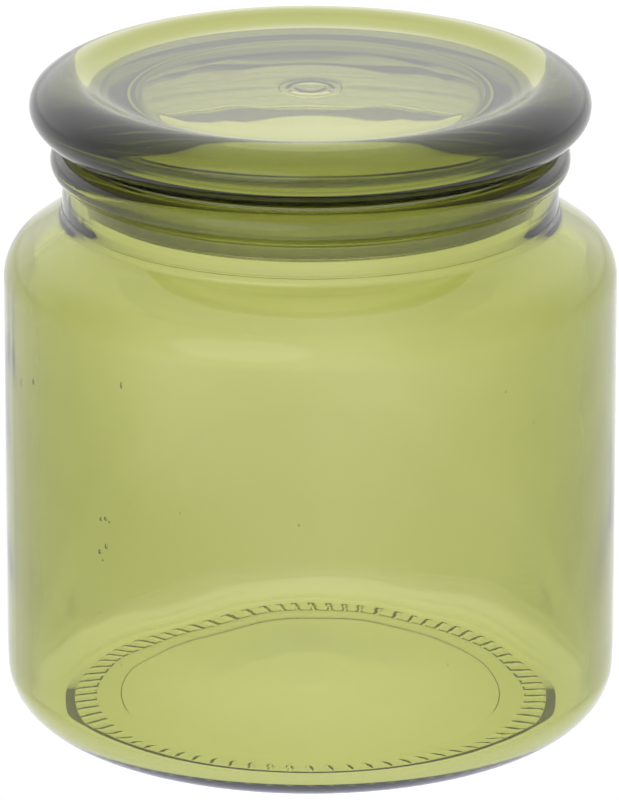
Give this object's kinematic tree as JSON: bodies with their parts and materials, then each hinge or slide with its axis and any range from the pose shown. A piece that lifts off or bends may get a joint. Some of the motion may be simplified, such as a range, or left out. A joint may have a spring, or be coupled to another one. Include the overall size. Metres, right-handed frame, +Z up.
{
  "type": "glass storage jar with stopper lid",
  "caption": "Round green glass jar with a wide neck, closed by a dished glass stopper lid on a soft seal ring; it holds disinfectant or small supplies.",
  "frame": {"origin": "centre of the ring under the base that the jar stands on", "axes": "+Z up along the jar's axis"},
  "size_m": [0.1, 0.1, 0.1085],
  "materials": {
    "jar_glass": "clear olive green, fire polished",
    "lid_glass": "clear olive green, pressed and fire polished",
    "seal_soft": "translucent soft silicone"
  },
  "bodies": {
    "jar": {"jar": "jar_glass"},
    "seal": {"seal_ring": "seal_soft"},
    "lid": {"lid": "lid_glass"}
  },
  "joints": [
    {"name": "lid_lift", "type": "slide", "parent": "jar", "child": "seal", "axis": [0, 0, 1], "range_m": [0, 0.06]},
    {"name": "lid_turn", "type": "hinge", "parent": "seal", "child": "lid", "pos_m": [0, 0, 0.0979], "axis": [0, 0, 1], "continuous": true}
  ]
}
